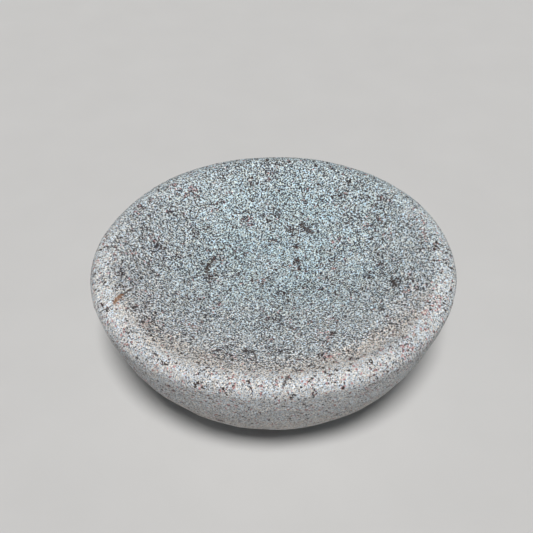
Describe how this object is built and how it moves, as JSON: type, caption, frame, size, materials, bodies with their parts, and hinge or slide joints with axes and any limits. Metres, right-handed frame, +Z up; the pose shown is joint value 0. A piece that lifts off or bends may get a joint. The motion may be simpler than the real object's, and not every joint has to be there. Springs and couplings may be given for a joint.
{
  "type": "stone bowl",
  "caption": "Round shallow hand-carved stone bowl with a thick rounded lip, a broad dished basin and a body that draws in to a small flat foot.",
  "frame": {"origin": "middle of the bowl's footprint, on the surface it stands on", "axes": "+Z up out of the basin, +X towards the side where the rim stands highest, -Y towards the viewer"},
  "size_m": [0.1998, 0.1992, 0.0804],
  "materials": {
    "stone": "fine-grained pale grey granite, hand dressed, matt"
  },
  "bodies": {
    "root": {"stone_bowl": "stone"}
  },
  "joints": []
}
